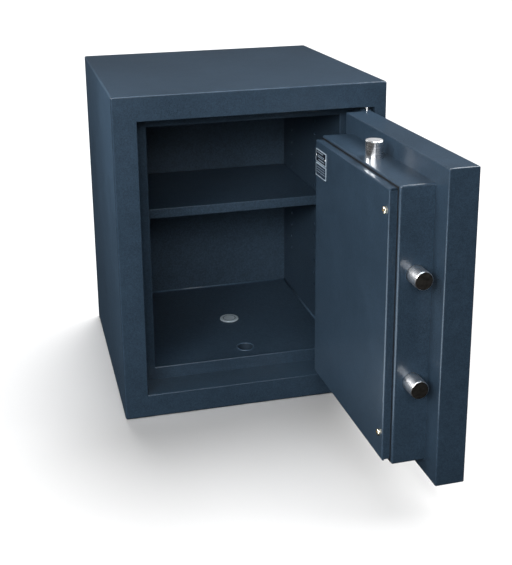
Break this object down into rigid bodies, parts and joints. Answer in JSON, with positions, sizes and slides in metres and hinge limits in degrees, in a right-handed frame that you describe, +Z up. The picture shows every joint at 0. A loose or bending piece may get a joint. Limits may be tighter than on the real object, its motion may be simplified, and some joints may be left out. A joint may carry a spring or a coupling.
{
  "type": "security safe",
  "caption": "Floor-standing double-walled security safe with a recessed key-locked door, side and top bolts, a shelf and floor anchor holes.",
  "frame": {"origin": "centre of the cabinet's base, on the floor plane", "axes": "+Z up; the door opening faces -Y; +X is to the right as seen from the front, on the hinge side"},
  "size_m": [0.4351, 0.7406, 0.5],
  "materials": {
    "shell": "fine-texture dark blue-grey powder coat",
    "liner": "fine-texture dark blue-grey powder coat",
    "fill": "cast barrier mix",
    "bolt_steel": "turned bright steel",
    "raw_steel": "plain steel",
    "zinc": "yellow zinc plated",
    "cap_plastic": "grey moulded plastic",
    "plate": "printed aluminium plate, dark field",
    "handle_metal": "satin chrome",
    "brass": "turned brass"
  },
  "bodies": {
    "cabinet": {"body_wrap": "shell", "base_plate": "shell", "back_plate": "shell", "front_frame": "shell", "step_ring": "shell", "liner_wrap": "liner", "liner_floor": "liner", "liner_back": "liner", "strike_cups": "raw_steel", "anchor_sleeves": "raw_steel", "anchor_cap": "cap_plastic", "barrier_fill": "fill", "shelf": "liner", "shelf_clips": "raw_steel", "thrust_washer": "raw_steel"},
    "door": {"door_pan": "shell", "door_back_sheet": "shell", "hard_plate": "raw_steel", "door_fill": "fill", "bolt_case": "shell", "bolt_bushes": "brass", "lock_cover": "shell", "cover_screws": "zinc", "rating_plate": "plate", "serial_plate": "plate", "plate_rivets": "bolt_steel", "hinge_lugs": "shell", "hinge_pins": "bolt_steel", "dead_bar": "raw_steel", "spindle_bush": "brass", "handle_rose": "handle_metal", "lock_escutcheon": "handle_metal", "lock_case": "raw_steel", "lock_case_screws": "zinc"},
    "side_boltwork": {"side_bolts": "bolt_steel", "carriage": "raw_steel"},
    "top_boltwork": {"top_bolt": "bolt_steel", "top_link": "raw_steel"},
    "handle_set": {"handle": "handle_metal", "spindle": "raw_steel", "cam_plate": "raw_steel"},
    "rotor": {"key_rotor": "brass"},
    "deadbolt": {"lock_bolt": "brass"},
    "cover_flap": {"keyhole_cover": "handle_metal"}
  },
  "joints": [
    {"name": "door_swing", "type": "hinge", "parent": "cabinet", "child": "door", "pos_m": [0.1775, -0.1945, 0.25], "axis": [0, 0, 1], "range_deg": [-91, 29]},
    {"name": "handle_turn", "type": "hinge", "parent": "door", "child": "handle_set", "pos_m": [0.20852, -0.36699, 0.296], "axis": [-0.9998, -0.0175, 0], "range_deg": [0, 75]},
    {"name": "side_bolt_slide", "type": "slide", "parent": "door", "child": "side_boltwork", "axis": [-0.0175, 0.9998, 0], "range_m": [0, 0.02435]},
    {"name": "top_bolt_slide", "type": "slide", "parent": "door", "child": "top_boltwork", "axis": [0, 0, -1], "range_m": [0, 0.02435]},
    {"name": "key_turn", "type": "hinge", "parent": "door", "child": "rotor", "pos_m": [0.18252, -0.36744, 0.206], "axis": [-0.9998, -0.0175, 0], "range_deg": [0, 90]},
    {"name": "lock_bolt_slide", "type": "slide", "parent": "door", "child": "deadbolt", "axis": [0, 0, 1], "range_m": [0, 0.0125]},
    {"name": "cover_swing", "type": "hinge", "parent": "door", "child": "cover_flap", "pos_m": [0.18252, -0.36744, 0.218], "axis": [-0.9998, -0.0175, 0], "range_deg": [-100, 100]}
  ],
  "couplings": [
    {"joint": "side_bolt_slide", "follows": "handle_turn", "m_per_rad": 0.018602},
    {"joint": "top_bolt_slide", "follows": "handle_turn", "m_per_rad": 0.018602},
    {"joint": "lock_bolt_slide", "follows": "key_turn", "m_per_rad": 0.0076394}
  ]
}
